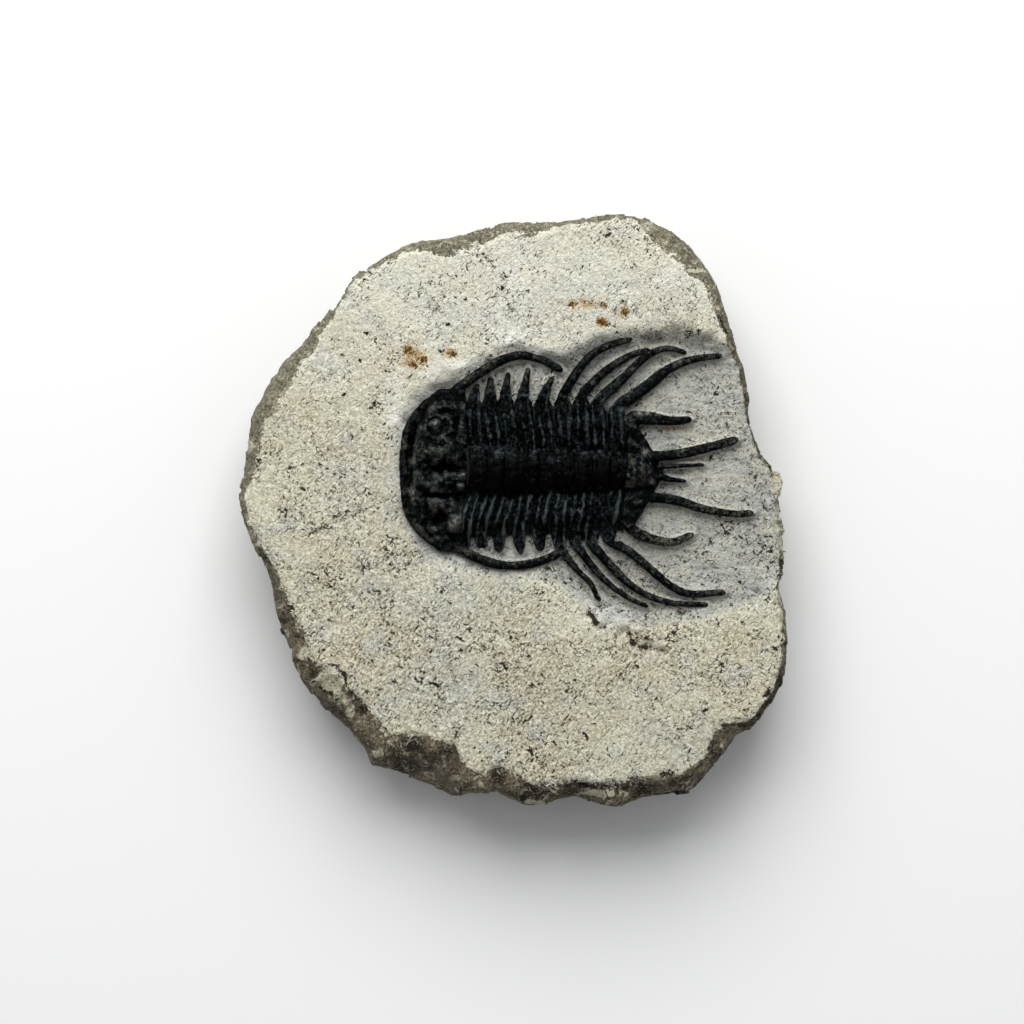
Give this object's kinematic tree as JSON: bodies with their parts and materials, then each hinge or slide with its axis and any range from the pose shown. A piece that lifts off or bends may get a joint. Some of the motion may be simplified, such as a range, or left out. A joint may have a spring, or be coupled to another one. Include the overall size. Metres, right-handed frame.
{
  "type": "trilobite fossil",
  "caption": "Spiny trilobite prepared in relief on its loose piece of limestone, dark shell with long curved spines on a pale stone with a flat base.",
  "frame": {"origin": "middle of the bounding box on the flat base", "axes": "+Z out of the prepared face, +X from the trilobite's head towards its tail, +Y towards the side of its right-hand spines as seen in the picture's top"},
  "size_m": [0.0609, 0.0657, 0.0179],
  "materials": {
    "limestone": "matt cream limestone with small dark flecks and picked tool marks, darker grey-brown broken edges",
    "fossil_calcite": "near-black calcite shell with a low sheen, grey dust in the grooves"
  },
  "bodies": {
    "root": {"stone_block": "limestone", "head_shield": "fossil_calcite", "body_segment_1": "fossil_calcite", "body_segment_2": "fossil_calcite", "body_segment_3": "fossil_calcite", "body_segment_4": "fossil_calcite", "body_segment_5": "fossil_calcite", "body_segment_6": "fossil_calcite", "body_segment_7": "fossil_calcite", "body_segment_8": "fossil_calcite", "body_segment_9": "fossil_calcite", "tail_shield": "fossil_calcite"}
  },
  "joints": []
}
